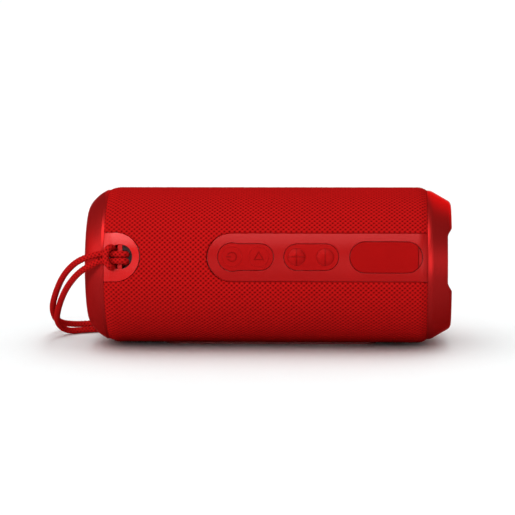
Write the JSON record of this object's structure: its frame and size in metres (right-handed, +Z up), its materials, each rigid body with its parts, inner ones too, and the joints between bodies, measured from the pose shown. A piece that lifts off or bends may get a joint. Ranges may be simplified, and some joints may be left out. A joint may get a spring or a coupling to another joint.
{
  "type": "portable cylindrical speaker",
  "caption": "Portable cylindrical wireless speaker in woven fabric, with a smooth key strip, a port cover, a notched base cap, end radiators and a wrist cord.",
  "frame": {"origin": "on the floor under the middle of the speaker's body, without its cord", "axes": "+X along the cylinder towards the notched base cap, -Y towards the control panel's side, +Z up"},
  "size_m": [0.2097, 0.0929, 0.0806],
  "materials": {
    "sleeve_fabric": "open woven polyester",
    "panel_plastic": "satin",
    "plate_plastic": "semi-gloss",
    "key_silicone": "matt silicone",
    "cover_silicone": "matt silicone",
    "cap_plastic": "satin",
    "foot_rubber": "matt",
    "cord_braid": "braided polyester",
    "inner_plastic": "moulded",
    "radiator_plastic": "satin",
    "surround_rubber": "matt",
    "gasket_rubber": "matt",
    "cell_wrap": "shrink wrap",
    "board": "solder mask",
    "chip_plastic": "moulded",
    "steel": "plated",
    "brass": "turned",
    "basket_steel": "black",
    "motor_steel": "plated",
    "cone_paper": "pressed paper"
  },
  "bodies": {
    "housing": {"aux_jack": "chip_plastic", "base_cap": "cap_plastic", "battery_cells": "cell_wrap", "battery_holder": "inner_plastic", "board_parts": "chip_plastic", "board_screws": "steel", "board_standoffs": "brass", "card_slot": "steel", "chassis_frame": "inner_plastic", "control_panel": "panel_plastic", "driver_screws": "steel", "fabric_sleeve": "sleeve_fabric", "foot_pad": "foot_rubber", "front_shell": "inner_plastic", "key_board": "board", "key_switches": "chip_plastic", "lanyard_cord": "cord_braid", "lanyard_cup": "inner_plastic", "lanyard_hitch": "cord_braid", "lanyard_plate": "plate_plastic", "left_driver_basket": "basket_steel", "left_driver_gasket": "gasket_rubber", "left_driver_motor": "motor_steel", "left_driver_surround": "surround_rubber", "left_radiator_frame": "inner_plastic", "left_radiator_gasket": "gasket_rubber", "left_radiator_surround": "surround_rubber", "main_board": "board", "port_bay": "panel_plastic", "port_board": "board", "power_pad": "key_silicone", "radiator_screws": "steel", "rear_shell": "inner_plastic", "right_driver_basket": "basket_steel", "right_driver_gasket": "gasket_rubber", "right_driver_motor": "motor_steel", "right_driver_surround": "surround_rubber", "right_radiator_frame": "inner_plastic", "right_radiator_gasket": "gasket_rubber", "right_radiator_surround": "surround_rubber", "top_cap": "cap_plastic", "usb_socket": "steel", "volume_pad": "key_silicone"},
    "power_key": {"power_key": "key_silicone"},
    "play_key": {"play_key": "key_silicone"},
    "volume_up_key": {"volume_up_key": "key_silicone"},
    "volume_down_key": {"volume_down_key": "key_silicone"},
    "port_cover": {"port_cover": "cover_silicone"},
    "left_radiator": {"left_radiator_plate": "radiator_plastic"},
    "left_cone": {"left_driver_cone": "cone_paper"},
    "right_radiator": {"right_radiator_plate": "radiator_plastic"},
    "right_cone": {"right_driver_cone": "cone_paper"}
  },
  "joints": [
    {"name": "power_key_press", "type": "slide", "parent": "housing", "child": "power_key", "axis": [0, 0.9659, -0.2588], "range_m": [0, 0.0006], "stiffness_N_per_m": 2500},
    {"name": "play_key_press", "type": "slide", "parent": "housing", "child": "play_key", "axis": [0, 0.9659, -0.2588], "range_m": [0, 0.0006], "stiffness_N_per_m": 2500},
    {"name": "volume_up_key_press", "type": "slide", "parent": "housing", "child": "volume_up_key", "axis": [0, 0.9659, -0.2588], "range_m": [0, 0.0006], "stiffness_N_per_m": 2500},
    {"name": "volume_down_key_press", "type": "slide", "parent": "housing", "child": "volume_down_key", "axis": [0, 0.9659, -0.2588], "range_m": [0, 0.0006], "stiffness_N_per_m": 2500},
    {"name": "port_cover_hinge", "type": "hinge", "parent": "housing", "child": "port_cover", "pos_m": [0.0416, -0.03868, 0.05097], "axis": [0, -0.2588, -0.9659], "range_deg": [0, 110], "stiffness_Nm_per_rad": 0.0015},
    {"name": "left_radiator_travel", "type": "slide", "parent": "housing", "child": "left_radiator", "axis": [-1, 0, 0], "range_m": [-0.002, 0.002], "stiffness_N_per_m": 600},
    {"name": "left_cone_travel", "type": "slide", "parent": "housing", "child": "left_cone", "axis": [0, 0.9659, -0.2588], "range_m": [-0.0015, 0.0015], "stiffness_N_per_m": 1500},
    {"name": "right_radiator_travel", "type": "slide", "parent": "housing", "child": "right_radiator", "axis": [1, 0, 0], "range_m": [-0.002, 0.002], "stiffness_N_per_m": 600},
    {"name": "right_cone_travel", "type": "slide", "parent": "housing", "child": "right_cone", "axis": [0, 0.9659, -0.2588], "range_m": [-0.0015, 0.0015], "stiffness_N_per_m": 1500}
  ]
}
